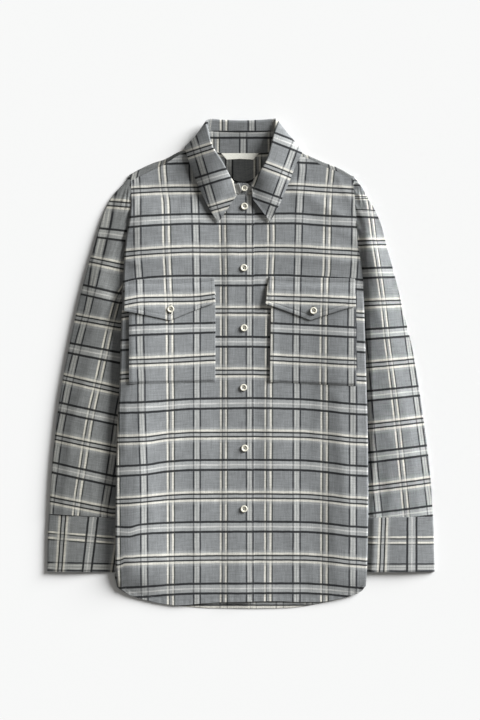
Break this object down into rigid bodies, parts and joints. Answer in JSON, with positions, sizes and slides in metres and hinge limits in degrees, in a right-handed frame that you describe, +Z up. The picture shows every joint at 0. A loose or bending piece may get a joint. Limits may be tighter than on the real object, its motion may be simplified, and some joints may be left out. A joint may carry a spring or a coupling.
{
  "type": "flannel shirt",
  "caption": "Plaid flannel shirt laid flat on its back, with collar, buttoned front, two chest pockets with flaps, long sleeves and cuffs.",
  "frame": {"origin": "centre of the underside of the shirt's bounding box, on the surface it lies on", "axes": "+Z up from the surface, +Y towards the collar, +X towards the wearer's left sleeve (the viewer's right)"},
  "size_m": [0.6195, 0.7821, 0.0141],
  "materials": {
    "flannel": "brushed twill in a grey, black and cream plaid",
    "tape": "plain woven tape",
    "button": "ivory, four holes"
  },
  "bodies": {
    "root": {"back": "flannel", "yoke": "flannel", "left_front": "flannel", "right_front": "flannel", "sleeve_right": "flannel", "sleeve_left": "flannel", "cuff_right": "flannel", "cuff_left": "flannel", "collar_stand": "flannel", "collar_leaf": "flannel", "pocket_right": "flannel", "pocket_left": "flannel", "flap_right": "flannel", "flap_left": "flannel", "neck_label": "tape", "button_collar": "button", "button_1": "button", "button_2": "button", "button_3": "button", "button_4": "button", "button_5": "button", "button_6": "button", "button_flap_right": "button", "button_flap_left": "button"}
  },
  "joints": []
}
